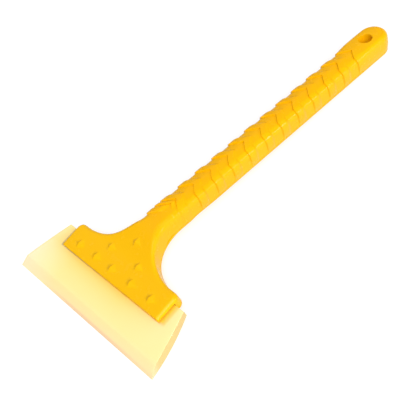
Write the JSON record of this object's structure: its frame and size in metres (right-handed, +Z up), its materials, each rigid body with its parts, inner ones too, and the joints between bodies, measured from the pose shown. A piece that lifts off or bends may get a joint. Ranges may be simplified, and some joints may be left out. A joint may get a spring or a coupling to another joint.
{
  "type": "windshield ice scraper",
  "caption": "Yellow two-shell plastic ice scraper with a wide translucent bevelled blade and a hanging hole in the ribbed handle.",
  "frame": {"origin": "centre of the bounding box's bottom, on the surface the tool lies on", "axes": "+Y along the handle from the blade to the hanging hole, +X across the blade, +Z up from the surface, with the tool resting on the blade's working edge and the heel of the handle, bevelled face up"},
  "size_m": [0.1686, 0.3436, 0.0286],
  "materials": {
    "shell_plastic": "satin injection-moulded",
    "cover_plastic": "satin injection-moulded",
    "blade_elastomer": "translucent, smooth, flexible polyurethane",
    "screw_steel": "zinc plated"
  },
  "bodies": {
    "root": {"front_shell": "shell_plastic", "rear_cover": "cover_plastic", "blade": "blade_elastomer", "blade_screw_1": "screw_steel", "blade_screw_2": "screw_steel", "blade_screw_3": "screw_steel", "blade_screw_4": "screw_steel", "blade_screw_5": "screw_steel", "handle_screw_1": "screw_steel", "handle_screw_2": "screw_steel", "handle_screw_3": "screw_steel", "handle_screw_4": "screw_steel"}
  },
  "joints": []
}
